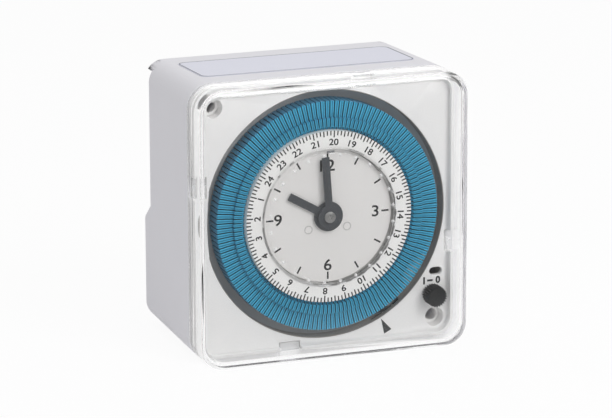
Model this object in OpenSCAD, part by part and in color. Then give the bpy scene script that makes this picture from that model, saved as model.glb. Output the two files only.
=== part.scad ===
// Mechanical 24-hour time switch with a 72 mm square front, a clear cover and a rail recess.
// X runs to the right, +Y into the body from the front, +Z up. The origin is the middle of the base.

/* [Housing] */
// Width and height of the square front
front_size = 72; // [72:0.5:100]
// Radius of the front's corners
corner_r = 6.3; // [5:0.1:8]
// Depth of the housing behind the cover, at the terminals
housing_d = 38.2; // [37:0.1:60]
// Depth of the step that makes the rail recess
recess_d = 5.1; // [5:0.1:7]
// Height of the rail recess
recess_h = 35.6; // [35.4:0.1:46]
// Height above the base where the rail recess begins
recess_z = 33; // [28:0.5:40]
// How far the upper lip stands out behind the recess
lip_d = 3.7; // [3:0.1:5]
// Fall of each outer wall over its depth
draft_slope = 0.0318; // [0:0.001:0.04]
// Wall of the housing
shell_wall = 2; // [1.6:0.1:2.5]

/* [Cover] */
// How far the clear cover stands out of the housing
cover_d = 11; // [10.5:0.1:14]
// Wall of the clear cover
cover_wall = 1.2; // [0.8:0.1:1.2]
// Travel that takes the cover clear of the housing
cover_travel = 18; // [15:1:30]
// Width of a cover tongue
tongue_w = 5.2; // [4:0.1:7]
// Offset of each tongue from the middle of its side
tongue_offset = 9.9; // [8:0.1:14]

/* [Face plate] */
// Depth of the plate's field behind the cover's front
plate_front = 8.4; // [7:0.1:9]
// Thickness of the plate
plate_t = 1.4; // [1:0.1:1.6]
// Height of the rim around the plate's field
plate_rim = 1.6; // [0.8:0.1:2]
// Width of that rim
plate_rim_w = 0.9; // [0.6:0.1:1.5]
// Distance of each fixing hole from the dial's centre, across and up
fixing_offset = 30; // [30:0.1:42]
// Radius of the fixing holes
fixing_r = 1.6; // [1.5:0.1:2.2]
// Radius of the fixing holes' counterbores
fixing_head_r = 2.5; // [2.4:0.1:3]
// Depth of the counterbores below the plate's field
fixing_head_d = 2.8; // [2:0.1:3]

/* [Dial] */
// Inner radius of the 24-hour ring
dial_bore_r = 17.5; // [16.5:0.1:18]
// Width of the band that carries the numbers
number_band = 4.8; // [4:0.1:5.5]
// Length of a switching segment along its radius
segment_len = 7.4; // [6:0.1:7.8]
// Number of switching segments around the dial
segment_count = 144; // [96:48:144]
// Gap between neighbouring segments
segment_gap = 0.3; // [0.2:0.02:0.4]
// How far a segment slides outwards
segment_travel = 1.5; // [1:0.1:1.6]
// Depth of the number ring behind the cover's front
ring_front = 5.6; // [5.4:0.1:5.8]
// Depth of the outer half of the segments
segment_front = 6.55; // [6.4:0.05:6.8]
// Depth of the floor of the well that the dial turns in
well_floor = 12.4; // [12.2:0.1:12.6]
// Thickness of the well's floor
well_t = 1.2; // [1:0.1:1.4]
// Angle of the hour mark 24, counter-clockwise from +X
dial_phase = 146.4; // [0:0.1:360]

/* [Clock] */
// Depth of the clock face
face_front = 6.9; // [6.8:0.1:7]
// Angle of the hour hand, counter-clockwise from +X
hour_angle = 150.3; // [0:0.1:360]
// Angle of the minute hand
minute_angle = 94; // [0:0.1:360]
// Width of the hands
hand_w = 2; // [1.5:0.1:2.5]
// Thickness of the hands
hand_t = 0.45; // [0.3:0.05:0.5]
// Depth of the clear centre window
window_front = 3.6; // [3.4:0.1:3.8]
// Thickness of the centre window
window_t = 0.8; // [0.6:0.1:0.9]

/* [Movement] */
// Tooth size of the coarse wheels
tooth_module = 0.5; // [0.4:0.01:0.55]
// Depth of the front movement plate
plates_front = 17; // [16.8:0.1:18]
// Thickness of each movement plate
movement_t = 1.2; // [1:0.1:1.3]
// Thickness of the toothed wheels
wheel_t = 1.4; // [1:0.1:1.5]
// Radius of the wheel arbors
arbor_r = 0.8; // [0.7:0.05:1]
// Radius of the movement plates
movement_r = 29.4; // [28.5:0.1:30]
// Radius of the gear motor's can
motor_r = 10.5; // [8:0.1:11]
// Depth of the gear motor's can
motor_d = 7; // [5:0.1:8]
// Thickness of the circuit board
board_t = 1.6; // [1:0.1:1.6]

/* [Switch and controls] */
// Place of the override knob's axis from the dial's centre
knob_at = [29.15, -23.7];
// Radius of the override knob
knob_r = 2.75; // [2.3:0.05:2.9]
// Height of the knob above the plate
knob_h = 4.2; // [3:0.1:4.6]
// Number of ribs around the knob
knob_ribs = 24; // [16:1:28]
// Place of the sensing lever's pin
lever_at = [24.5, -27.5];
// Angle of the pointer where the dial is read
pointer_angle = -62.4; // [-64:0.1:-60]

/* [Terminals and rail clip] */
// Places of the terminals across the body
terminal_x = [-26.5, -19, -11.5, 11.5, 19];
// Radius of each wire entry
wire_entry_r = 1.9; // [1.5:0.1:1.95]
// Radius of a terminal screw's head
terminal_head_r = 2.4; // [2:0.1:2.6]
// Width of the rail clip's tongue
clip_w = 11; // [8:0.5:12]
// Travel of the rail clip
clip_travel = 3; // [2:0.1:4]

/* [Hidden] */
$fn = 64;

slip = 0.2;
running = 0.05;
seat = 0.1;
press = 0.02;

half = front_size / 2;
body_d = cover_d + housing_d;
recess_back = body_d - recess_d;
recess_low = recess_z - half;
recess_top = recess_low + recess_h;
recess_chamfer = 4;
hook_nose = 1.2;
rail_pad_d = 0.3;
mouth = half - shell_wall;
tongue_in = mouth - 1.2;
fixings = [[-fixing_offset, fixing_offset], [fixing_offset, -fixing_offset]];
fixing_floor = plate_front + fixing_head_d;
fixing_tube_r = fixing_head_r + 0.8;
rail_pad_half = fixing_offset - fixing_tube_r - 0.7;

plate_back = plate_front + plate_t;
plate_half = half - cover_wall - slip;
skirt_d = 3;
skirt_t = 1.2;
skirt_half = mouth - draft_slope * (skirt_d + 1) - seat;

number_r = dial_bore_r + number_band;
segment_in_r = number_r + slip;
segment_out_r = segment_in_r + segment_len;
well_r = segment_out_r + segment_travel + 0.9;
well_wall = 1;
segment_step = 360 / segment_count;
outer_band = 4.3;
inner_band = 0.75;
rib_h = 0.75;
segment_foot = 2;
segment_plate_back = 8.1;
ring_back = 8.2;
flange_back = 12;
loose_first = segment_count * 18 / 24;
loose_count = 12;

face_t = 1;
skirt_r = dial_bore_r - 0.55;
ring_bore_r = skirt_r + running;
// the counts of the train from the dial to the hands keep their ratios, and grow when the teeth are finer
train = ceil((ring_bore_r + 2.5) / (6 * tooth_module));
dial_teeth = 12 * train;
dial_pitch_r = dial_teeth * tooth_module / 2;
dial_gear_front = well_floor + well_t + 0.4;
dial_gear_back = dial_gear_front + 2;
well_hole_r = dial_pitch_r + 0.8;

hour_teeth = 10 * train;
idler_teeth = 5 * train;
idler_pinion_teeth = 3 * train;
transfer_pinion_teeth = 2 * train;
transfer_teeth = 48;
minute_pinion_teeth = 20;
minute_teeth = 60;
drive_teeth = 20;
idler_angle = 45;
transfer_angle = 225;
drive_angle = 135;
hour_pitch_r = hour_teeth * tooth_module / 2;
idler_at_r = (dial_teeth + idler_pinion_teeth) * tooth_module / 2;
transfer_at_r = (hour_teeth + transfer_pinion_teeth) * tooth_module / 2;
drive_at_r = (minute_teeth + drive_teeth) * tooth_module / 2;
minute_pinion_r = transfer_at_r * minute_pinion_teeth / (minute_pinion_teeth + transfer_teeth);
transfer_r = transfer_at_r - minute_pinion_r;

plates_back = plates_front + 13;
layer_hour = plates_front + 2;
layer_transfer = plates_front + 5;
layer_minute = plates_front + 8;
arbor_end = plates_back + movement_t;
hour_tube_r = 1.6;
hour_tube_bore = 1.03;
minute_arbor_r = hour_tube_bore - 0.06;
hour_hand_front = 6.05;
minute_hand_front = 5.25;
screw_head_front = 4.75;
pillar_r = 1.6;
pillar_bore = 1;
boss_r = 2.2;
movement_screw_r = 0.83;
well_screw_r = 0.68;
ear_r = 2.1;
ear_d = 2;
plate_boss_back = plate_back + 1.4;
lever_pin_r = 0.58;
lever_boss_r = 1.5;
knob_shaft_r = 1.2;
pillar_at_r = 26.9;
ear_at_r = well_r + 3.3;
ear_angles = [45, 135, 225];

board_front = arbor_end + 2;
board_back = board_front + board_t;
board_low = [-2.5, -10];
board_high = [31, 26];
battery_at = [22, 15];
battery_r = 5.8;
capacitor_at = [5.5, 18.5];

terminal_back = recess_back - shell_wall - seat;
terminal_front = terminal_back - 9;
terminal_floor = -mouth + ceil(10 * draft_slope * (terminal_back - cover_d)) / 10 + slip;
terminal_top = terminal_floor + 10.8;
terminal_side = 3.9;
cage_front = terminal_front + 1.4;
cage_back = cage_front + 6;
cage_w = 6.4;
wire_d = cage_front + 3;
terminal_v = terminal_floor + 6.4;
wire_run = terminal_v - cage_w / 2 - terminal_floor + 2;

switch_front = 14.4;
switch_back = 22;
switch_h = 4.1;
switch_low = [5, lever_at.y - 0.7 - switch_h];
plunger_l = 3;
plunger_top = lever_at.y + 0.9;
pad_gap = 0.2;
plunger_at = 12.5;
plunger_d = 16;
lever_back = plunger_d + 1;
plunger_r = 0.5;

clip_front = body_d - 3.3;
clip_back = body_d - 0.3;
clip_flange_t = 1.1;
clip_flange_w = clip_w + 4;
clip_low = -half + 11;
clip_nose = 2.8;
rail_pad_low = recess_low + clip_nose + 0.7;
rail_pad_high = recess_top - hook_nose - 0.5;
channel_low = clip_low - clip_travel - 6.7;
spring_coils = 5;
spring_r = 1.2;
spring_wire = 0.2;

// ---- helpers: u right, v up from the dial's centre, depth from the cover's front ----

module in_front() {
    translate([0, -body_d / 2, half]) rotate([90, 0, 0]) children();
}

module slab(from, to) {
    translate([0, 0, -to]) linear_extrude(to - from) children();
}

module at_polar(r, a) {
    translate([r * cos(a), r * sin(a)]) children();
}

module round_square(h, r) {
    square([2 * h, 2 * (h - r)], center = true);
    square([2 * (h - r), 2 * h], center = true);
    for (sx = [-1, 1], sy = [-1, 1]) translate([sx * (h - r), sy * (h - r)]) circle(r);
}

module round_box(low, high, r) {
    translate([low.x + r, low.y]) square([high.x - low.x - 2 * r, high.y - low.y]);
    translate([low.x, low.y + r]) square([high.x - low.x, high.y - low.y - 2 * r]);
    for (x = [low.x + r, high.x - r], y = [low.y + r, high.y - r]) translate([x, y]) circle(r);
}

module ring(r_out, r_in) {
    difference() {
        circle(r_out);
        circle(r_in);
    }
}

// A straight bar from the origin towards an angle, with a round far end
module bar(length, width, a) {
    rotate(a) translate([0, -width / 2]) square([length - width / 2, width]);
    at_polar(length - width / 2, a) circle(width / 2);
}

// A profile of [v, depth] points carried across the whole width
module across(width, points) {
    rotate([90, 0, 90]) translate([0, 0, -width / 2]) linear_extrude(width)
        polygon([for (p = points) [p[0], -p[1]]]);
}

// A profile of [u, depth] points carried along v
module along_v(v_low, v_high, points) {
    translate([0, v_high, 0]) rotate([90, 0, 0]) linear_extrude(v_high - v_low)
        polygon([for (p = points) [p[0], -p[1]]]);
}

// A round-cornered square block whose four sides fall in towards the back
module drafted_block(from, to, h_from, h_to, r_from) {
    flat = h_from - r_from;
    fall = round(1000 * (h_from - h_to)) / 1000;
    h_end = h_from - fall;
    across(2 * flat, [[-h_from, from], [h_from, from], [h_end, to], [-h_end, to]]);
    along_v(-flat, flat, [[-h_from, from], [h_from, from], [h_end, to], [-h_end, to]]);
    for (sx = [-1, 1], sy = [-1, 1]) translate([sx * flat, sy * flat, -to])
        cylinder(h = to - from, r1 = r_from - fall, r2 = r_from);
}

// Tooth outline with straight flanks and free backlash
function tooth(i, n, r, m) = [
    for (k = [[-0.29, -0.95], [-0.1, 0.65], [0.1, 0.65], [0.29, -0.95]])
        let (a = 360 * (i + k[0]) / n, q = r + k[1] * m) [q * cos(a), q * sin(a)]
];

module gear(n, r, turn) {
    m = 2 * r / n;
    rotate(turn) polygon([for (i = [0:n - 1]) each tooth(i, n, r, m)]);
}

// A wheel with round lightening holes
module wheel(n, r, turn, bore, hole_r, holes) {
    difference() {
        gear(n, r, turn);
        circle(bore);
        for (i = [0:holes - 1]) at_polar(r * 0.58, 360 * i / holes + 15) circle(hole_r);
    }
}

// The side of one segment between two radii
module segment_wedge(r_from, r_to) {
    e = segment_step / 2;
    g = segment_gap / 2;
    polygon([
        [r_from, -r_from * tan(e) + g], [r_to, -r_to * tan(e) + g],
        [r_to, r_to * tan(e) - g], [r_from, r_from * tan(e) - g]
    ]);
}

module segment(i) {
    step_r = segment_out_r - outer_band;
    low_r = segment_in_r + inner_band;
    rotate(dial_phase + (i + 0.5) * segment_step) {
        slab(segment_front, segment_plate_back) segment_wedge(step_r, segment_out_r);
        slab(segment_front - rib_h, segment_plate_back) segment_wedge(low_r, step_r);
        slab(segment_front + 0.3, segment_plate_back) segment_wedge(segment_in_r, low_r);
        slab(segment_plate_back, flange_back) segment_wedge(segment_out_r - segment_foot, segment_out_r);
    }
}

module loose_segment(k) {
    color("#4ba8c8") in_front() segment(loose_first + k);
}

// ---- housing ----

module shell_outline() {
    deep = half - draft_slope * housing_d;
    difference() {
        drafted_block(cover_d, body_d, half, deep, corner_r);
        across(2 * front_size, [
            [recess_low, recess_back], [recess_low - recess_chamfer, body_d],
            [recess_low - recess_chamfer, body_d + 1], [front_size, body_d + 1],
            [front_size, recess_back + lip_d], [recess_top, recess_back + lip_d],
            [recess_top, recess_back]
        ]);
    }
}

module clip_channel() {
    slab(clip_front - slip, clip_front + clip_flange_t + slip)
        translate([-clip_flange_w / 2 - slip, channel_low])
            square([clip_flange_w + 2 * slip, recess_top - channel_low - 6]);
    slab(clip_front, body_d + 1)
        translate([-clip_w / 2 - slip, channel_low])
            square([clip_w + 2 * slip, recess_top - channel_low - 6]);
}

module case_shell() {
    inner_deep = mouth - draft_slope * housing_d;
    color("#d4d3d8") in_front() difference() {
        union() {
            difference() {
                shell_outline();
                drafted_block(cover_d - 1, recess_back - shell_wall, mouth,
                    mouth - draft_slope * (housing_d - recess_d), corner_r - shell_wall);
                along_v(-inner_deep, recess_low - recess_chamfer - shell_wall, [
                    [clip_flange_w / 2 + 2, recess_back - shell_wall - 1],
                    [inner_deep - corner_r / 2, recess_back - shell_wall - 1],
                    [inner_deep - corner_r / 2, body_d - shell_wall],
                    [clip_flange_w / 2 + 2, body_d - shell_wall]
                ]);
                along_v(-inner_deep, recess_low - recess_chamfer - shell_wall, [
                    [-clip_flange_w / 2 - 2, recess_back - shell_wall - 1],
                    [-inner_deep + corner_r / 2, recess_back - shell_wall - 1],
                    [-inner_deep + corner_r / 2, body_d - shell_wall],
                    [-clip_flange_w / 2 - 2, body_d - shell_wall]
                ]);
            }
            for (p = fixings)
                slab(cover_d + skirt_d, p.y > 0 ? recess_back - 0.5 : body_d - 0.5)
                    translate(p) circle(fixing_tube_r);
            for (i = [0, 3]) slab(terminal_front, terminal_back)
                translate([(terminal_x[i] + terminal_x[i + 1]) / 2 - 1.5, -half + shell_wall / 4 + 0.6])
                    square([3, terminal_floor + half - shell_wall / 4 - 0.6]);
            slab(cover_d + skirt_d + 1, switch_back) translate([switch_low.x + 1, -half + shell_wall / 2])
                square([10, switch_low.y + half - shell_wall / 2]);
            for (x = [-12, 12]) slab(recess_back - 0.5, recess_back + lip_d)
                translate([x - 4, recess_top - hook_nose]) square([8, 2]);
            slab(recess_back - 0.5, recess_back + rail_pad_d) translate([-rail_pad_half, rail_pad_low])
                square([2 * rail_pad_half, rail_pad_high - rail_pad_low]);
        }
        for (p = fixings) slab(cover_d, body_d + 1) translate(p) circle(fixing_r);
        for (x = [-12, 12]) slab(recess_back, recess_back + 1.4)
            translate([x - 4.5, recess_top - hook_nose - 0.3]) square([9, hook_nose + 0.3]);
        clip_channel();
        for (x = terminal_x) {
            slab(terminal_back - 1, body_d + 1) translate([x, terminal_v]) circle(terminal_head_r + 0.3);
            translate([x, -half - 1, -wire_d]) rotate([-90, 0, 0]) cylinder(h = shell_wall + 3, r = wire_entry_r);
        }
    }
}

module tongue_place() {
    for (a = [0:90:270]) rotate(a) translate([tongue_offset, 0]) children();
}

// Room for the cover's tongues in what they pass
module tongue_passage() {
    tongue_place() translate([-tongue_w / 2 - slip, tongue_in - slip]) square([tongue_w + 2 * slip, 5]);
}

module clear_cover() {
    inner = half - cover_wall;
    color("#e8f0f4", 0.35) in_front() {
        difference() {
            slab(0, cover_d - seat) round_square(half, corner_r);
            slab(cover_wall, cover_d + 1) round_square(inner, corner_r - cover_wall);
        }
        tongue_place() {
            slab(cover_d - 2.5, cover_d - 1) translate([-tongue_w / 2, tongue_in])
                square([tongue_w, inner - tongue_in + slip]);
            slab(cover_d - 1, cover_d + 2.4) translate([-tongue_w / 2, tongue_in])
                square([tongue_w, 0.9]);
        }
    }
}

module rating_label() {
    label_half = 29;
    label_from = 18.6;
    label_to = recess_back - 4.1;
    thick = 0.15;
    top_from = half - draft_slope * (label_from - cover_d);
    top_to = half - draft_slope * (label_to - cover_d);
    r = 2.5;
    color("#dadbe6") in_front() intersection() {
        across(2 * label_half, [
            [top_from, label_from], [top_from + thick, label_from],
            [top_to + thick, label_to], [top_to, label_to]
        ]);
        translate([0, half + 1, 0]) rotate([90, 0, 0]) linear_extrude(4)
            round_box([-label_half, -label_to], [label_half, -label_from], r);
    }
}

// ---- face plate and well ----

module plate_outline() {
    round_square(plate_half, corner_r - cover_wall - slip);
}

module face_plate() {
    lip_r = well_r + 0.2;
    color("#dedddd") in_front() difference() {
        union() {
            slab(plate_front, plate_back) plate_outline();
            difference() {
                slab(plate_front - plate_rim, cover_d) plate_outline();
                slab(plate_front - plate_rim - 1, cover_d + 1)
                    round_square(plate_half - plate_rim_w, corner_r - cover_wall - plate_rim_w - slip);
            }
            difference() {
                slab(plate_back, cover_d + skirt_d) round_square(skirt_half, corner_r - shell_wall - seat);
                slab(plate_back, cover_d + skirt_d + 1)
                    round_square(skirt_half - skirt_t, corner_r - shell_wall - skirt_t);
            }
            for (p = fixings) slab(plate_back, cover_d + skirt_d)
                translate(p) circle(fixing_head_r + 0.8);
            for (a = ear_angles) slab(plate_back, plate_boss_back) at_polar(ear_at_r, a) circle(ear_r - 0.2);
            slab(plate_back, plate_back + 0.6) translate(lever_at) circle(lever_boss_r + 0.1);
        }
        slab(plate_front - 3, plate_back + 0.01) circle(lip_r);
        slab(plate_back, cover_d + skirt_d + 1) circle(well_r + well_wall + seat);
        slab(plate_front - 1, plate_front + 0.3) pointer_outline();
        for (p = fixings) {
            slab(plate_front - 3, fixing_floor) translate(p) circle(fixing_head_r);
            slab(plate_front - 3, cover_d + 5) translate(p) circle(fixing_r);
        }
        for (a = ear_angles) slab(plate_back, plate_boss_back + 1)
            at_polar(ear_at_r, a) circle(well_screw_r + press);
        slab(plate_front - 1, plate_back + 1) translate(knob_at) circle(knob_shaft_r + 0.1);
        slab(plate_front - 1, plate_back + 1) slot_outline();
        slab(plate_back - 0.6, plate_back + 3) translate(lever_at) circle(lever_pin_r + press);
        slab(plate_front - plate_rim - 1, cover_d + skirt_d + 1) tongue_passage();
    }
}

module pointer_outline() {
    tip_at = well_r + 0.55;
    rotate(pointer_angle) polygon([[tip_at, 0], [tip_at + 4, 1.1], [tip_at + 4, -1.1]]);
}

module pointer_mark() {
    color("#3f4244") in_front() slab(plate_front - 0.04, plate_front + 0.3) pointer_outline();
}

module slot_outline() {
    slot_at = [30.3, -17.85];
    slot_r = 1;
    slot_run = 0.75;
    for (s = [-1, 1]) translate([slot_at.x + s * slot_run, slot_at.y]) circle(slot_r);
    translate(slot_at) square([2 * slot_run, 2 * slot_r], center = true);
}

module dial_well() {
    out_r = well_r + well_wall;
    color("#6a7074") in_front() difference() {
        union() {
            slab(plate_front + 0.1, plate_back + 0.5) circle(well_r + 0.15);
            slab(plate_back, well_floor + well_t) circle(out_r);
            for (a = [0:90:270]) slab(well_floor, plates_front) at_polar(pillar_at_r, a) circle(boss_r);
            for (a = ear_angles) slab(plate_boss_back, plate_boss_back + ear_d) {
                at_polar(ear_at_r, a) circle(ear_r);
                rotate(a) translate([well_r, -ear_r]) square([ear_at_r - well_r, 2 * ear_r]);
            }
        }
        slab(0, well_floor) circle(well_r);
        slab(0, 30) circle(well_hole_r);
        slab(plate_back, cover_d + skirt_d) tongue_passage();
        for (a = [0:90:270]) slab(well_floor + 0.6, 30)
            at_polar(pillar_at_r, a) circle(movement_screw_r + press);
        for (a = ear_angles) slab(plate_boss_back - 0.1, plate_boss_back + ear_d + 0.1)
            at_polar(ear_at_r, a) circle(well_screw_r + slip);
        slab(plate_back + 0.2, well_floor) polygon([
            [0, 0], [50 * cos(pointer_angle - 3.6), 50 * sin(pointer_angle - 3.6)],
            [50 * cos(pointer_angle + 12.4), 50 * sin(pointer_angle + 12.4)]
        ]);
    }
}

module clock_face() {
    color("#dcdbd9") in_front() difference() {
        union() {
            slab(face_front, face_front + face_t) circle(dial_bore_r - slip);
            slab(face_front, plates_front) ring(skirt_r, skirt_r - 1);
        }
        slab(0, 30) circle(hour_tube_r + 0.4);
        slab(plates_front - 1, 30) at_polar(transfer_at_r, transfer_angle) circle(arbor_r + slip);
    }
}

module well_screws() {
    color("silver") in_front() for (a = ear_angles) at_polar(ear_at_r, a) {
        slab(plate_back, plate_boss_back + ear_d) circle(well_screw_r);
        slab(plate_boss_back + ear_d, plate_boss_back + ear_d + 1) difference() {
            circle(1.5);
            square([0.5, 4], center = true);
        }
    }
}

// ---- dial ----

module dial_ring() {
    color("#e2e1e0") in_front() difference() {
        union() {
            slab(ring_front, ring_back) circle(number_r);
            slab(ring_back, flange_back) circle(segment_out_r - segment_foot - 0.4);
            slab(flange_back, dial_gear_front) circle(dial_pitch_r - 0.8);
            slab(dial_gear_front, dial_gear_back) gear(dial_teeth, dial_pitch_r, idler_angle);
        }
        slab(0, 8.1) circle(dial_bore_r);
        slab(0, 30) circle(ring_bore_r);
    }
}

module segments() {
    color("#4ba8c8") in_front() for (i = [0:segment_count - 1])
        if (i < loose_first || i >= loose_first + loose_count) segment(i);
}

module centre_window() {
    rim_r = dial_bore_r + 0.7;
    pips = 24;
    color("#eef3f6", 0.4) in_front() {
        slab(window_front, window_front + window_t) circle(dial_bore_r);
        slab(window_front, ring_front) ring(dial_bore_r, dial_bore_r - 0.5);
        slab(ring_front - 0.35, ring_front) ring(rim_r, dial_bore_r - 0.5);
        for (i = [0:pips - 1]) rotate(i * 360 / pips + 7.5)
            translate([dial_bore_r - 0.9, 0, -window_front - 0.1]) sphere(0.45);
    }
}

// ---- hands and wheels ----

module hour_hand() {
    color("#4d5256") in_front() slab(hour_hand_front, hour_hand_front + hand_t) difference() {
        union() {
            circle(3.85);
            rotate(hour_angle) translate([0, -hand_w / 2]) square([dial_bore_r - 5.4, hand_w]);
        }
        circle(hour_tube_r + press);
    }
}

module hour_wheel() {
    color("#c9a44c") in_front() difference() {
        union() {
            slab(hour_hand_front, layer_hour + wheel_t) circle(hour_tube_r);
            slab(layer_hour, layer_hour + wheel_t)
                wheel(hour_teeth, hour_pitch_r, idler_angle, hour_tube_r - 0.3, 3, 5);
            slab(layer_hour - 0.5, layer_hour) circle(3);
        }
        slab(0, 40) circle(hour_tube_bore);
    }
}

module minute_hand() {
    color("#4d5256") in_front() slab(minute_hand_front, minute_hand_front + hand_t) difference() {
        union() {
            circle(3.1);
            rotate(minute_angle) translate([0, -hand_w / 2]) square([dial_bore_r - 1.9, hand_w]);
        }
        circle(minute_arbor_r + press);
    }
}

module minute_arbor() {
    color("silver") in_front() difference() {
        union() {
            slab(minute_hand_front, arbor_end) circle(minute_arbor_r);
            slab(minute_hand_front + hand_t, hour_hand_front - 0.1) circle(1.5);
            slab(layer_transfer, layer_transfer + wheel_t)
                gear(minute_pinion_teeth, minute_pinion_r, transfer_angle);
        }
        slab(0, minute_hand_front + 2.6) circle(0.5);
    }
}

module minute_wheel() {
    color("#c9a44c") in_front() slab(layer_minute, layer_minute + wheel_t)
        wheel(minute_teeth, minute_teeth * tooth_module / 2, drive_angle, minute_arbor_r + press, 2.6, 5);
}

module hand_screw() {
    color("silver") in_front() {
        slab(screw_head_front, minute_hand_front) difference() {
            circle(1.46);
            for (a = [20, 110]) rotate(a) square([0.4, 1.9], center = true);
        }
        slab(minute_hand_front, minute_hand_front + 2.4) circle(0.48);
    }
}

module transfer_wheel() {
    color("#c9a44c") in_front() at_depth_polar(transfer_at_r, transfer_angle)
        slab(layer_transfer, layer_transfer + wheel_t)
            wheel(transfer_teeth, transfer_r, transfer_angle + 180 + 180 / transfer_teeth, arbor_r + press,
                2.6, 5);
}

module at_depth_polar(r, a) {
    translate([r * cos(a), r * sin(a), 0]) children();
}

module transfer_arbor() {
    n = transfer_pinion_teeth;
    color("silver") in_front() at_depth_polar(transfer_at_r, transfer_angle) {
        slab(plates_front - 0.5, arbor_end) circle(arbor_r);
        slab(layer_hour, layer_hour + wheel_t)
            gear(n, n * tooth_module / 2, transfer_angle + 180 + 180 / n);
    }
}

module idler_wheel() {
    n = idler_teeth;
    color("#c9a44c") in_front() at_depth_polar(idler_at_r, idler_angle)
        slab(layer_hour, layer_hour + wheel_t)
            wheel(n, n * tooth_module / 2, idler_angle + 180 + 180 / n, arbor_r + press, 1.5, 5);
}

module idler_arbor() {
    n = idler_pinion_teeth;
    color("#e2e1e0") in_front() at_depth_polar(idler_at_r, idler_angle) {
        slab(dial_gear_front, arbor_end) circle(arbor_r);
        slab(dial_gear_front, dial_gear_back)
            gear(n, n * tooth_module / 2, idler_angle + 180 + 180 / n);
    }
}

module drive_pinion() {
    n = drive_teeth;
    color("#e2e1e0") in_front() at_depth_polar(drive_at_r, drive_angle) {
        slab(layer_minute - 0.4, arbor_end + 1) circle(arbor_r);
        slab(layer_minute, layer_minute + wheel_t)
            gear(n, n * tooth_module / 2, drive_angle + 180 + 180 / n);
    }
}

// ---- movement frame, motor and board ----

module movement_outline() {
    difference() {
        circle(movement_r);
        translate([25, -25]) circle(17);
        translate([3.6, -60]) square([60, 60 - 27.8]);
        for (a = [0:90:270]) at_polar(pillar_at_r, a) circle(movement_screw_r + 0.12);
    }
}

module front_movement_plate() {
    color("#b9bcc0") in_front() slab(plates_front, plates_front + movement_t) difference() {
        movement_outline();
        circle(hour_tube_r + running);
        at_polar(transfer_at_r, transfer_angle) circle(arbor_r + running);
        at_polar(idler_at_r, idler_angle) circle(arbor_r + running);
    }
}

module back_movement_plate() {
    color("#b9bcc0") in_front() slab(plates_back, plates_back + movement_t) difference() {
        movement_outline();
        circle(minute_arbor_r + running);
        at_polar(transfer_at_r, transfer_angle) circle(arbor_r + running);
        at_polar(idler_at_r, idler_angle) circle(arbor_r + running);
        at_polar(drive_at_r, drive_angle) circle(arbor_r + 0.6);
        for (p = standoff_places()) translate(p) circle(0.6);
    }
}

module plate_pillars() {
    color("silver") in_front() slab(plates_front + movement_t, plates_back)
        for (a = [0:90:270]) at_polar(pillar_at_r, a) ring(pillar_r, pillar_bore);
}

module movement_screws() {
    color("silver") in_front() for (a = [0:90:270]) at_depth_polar(pillar_at_r, a) {
        slab(plates_front - 2.6, arbor_end) circle(movement_screw_r);
        slab(arbor_end, arbor_end + 1.2) difference() {
            circle(1.9);
            square([0.5, 5], center = true);
        }
    }
}

module gear_motor() {
    color("#9aa0a6") in_front() at_depth_polar(drive_at_r, drive_angle) difference() {
        union() {
            slab(arbor_end, arbor_end + motor_d) circle(motor_r);
            slab(arbor_end + motor_d, arbor_end + motor_d + 0.5) circle(motor_r - 1.5);
        }
        slab(arbor_end - 1, arbor_end + 1.3) circle(arbor_r + running);
    }
}

function standoff_places() = [[0, -7.5], [13, -7.5], [14, 23.4]];

module circuit_board() {
    color("#2f7d4f") in_front() slab(board_front, board_back) difference() {
        translate(board_low) square(board_high - board_low);
        at_polar(drive_at_r, drive_angle) circle(motor_r + 1);
        for (p = standoff_places()) translate(p) circle(1);
    }
}

module board_standoffs() {
    color("#e8e6df") in_front() for (p = standoff_places()) translate([p.x, p.y, 0]) {
        slab(plates_back, arbor_end) circle(0.6 - press);
        slab(arbor_end, board_front) circle(1.8);
        slab(board_front, board_back) circle(1 - press);
        slab(board_back, board_back + 0.7) circle(1.5);
    }
}

module reserve_battery() {
    color("#5d8f6a") in_front() slab(board_back, board_back + 5.4) translate(battery_at) circle(battery_r);
}

module mains_capacitor() {
    color("#c8b040") in_front() slab(board_back, board_back + 6)
        translate(capacitor_at) square([13, 7], center = true);
}

module quartz_crystal() {
    color("silver") in_front() translate([4, 8, -board_back - 1.5]) rotate([0, 90, 0])
        cylinder(h = 8, r = 1.5);
}

module board_resistors() {
    color("#c9b28a") in_front() for (v = [-2, 2]) translate([4, v, -board_back - 1.2])
        rotate([0, 90, 0]) cylinder(h = 6.5, r = 1.2);
}

// ---- terminals ----

module terminal_block() {
    color("#8f9499") in_front() difference() {
        slab(terminal_front, terminal_back)
            translate([terminal_x[0] - terminal_side, terminal_floor])
                square([terminal_x[4] - terminal_x[0] + 2 * terminal_side, terminal_top - terminal_floor]);
        for (x = terminal_x) {
            slab(cage_front, terminal_back + 1) translate([x - cage_w / 2 - seat, terminal_v - cage_w / 2 - 0.2])
                square([cage_w + 2 * seat, cage_w + 0.4]);
            translate([x, terminal_floor - 1, -wire_d]) rotate([-90, 0, 0])
                cylinder(h = wire_run, r = wire_entry_r);
            slab(terminal_front - 1, cage_front + 1)
                translate([x - 1.7, terminal_v + 1.2]) square([3.4, 1]);
        }
    }
}

module clamp_cages() {
    color("#c9a44c") in_front() for (x = terminal_x) difference() {
        slab(cage_front, cage_back) translate([x, terminal_v]) square(cage_w, center = true);
        translate([x, terminal_v - 5, -wire_d]) rotate([-90, 0, 0]) cylinder(h = 10, r = wire_entry_r);
        slab(cage_front - 1, cage_back + 1) translate([x, terminal_v]) circle(1.25);
    }
}

module terminal_screws() {
    color("silver") in_front() for (x = terminal_x) translate([x, terminal_v, 0]) {
        slab(cage_back - 1.5, cage_back) circle(1.22);
        slab(cage_back, terminal_back - 0.6) difference() {
            circle(terminal_head_r);
            translate([0, 0]) square([0.8, 8], center = true);
        }
    }
}

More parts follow.
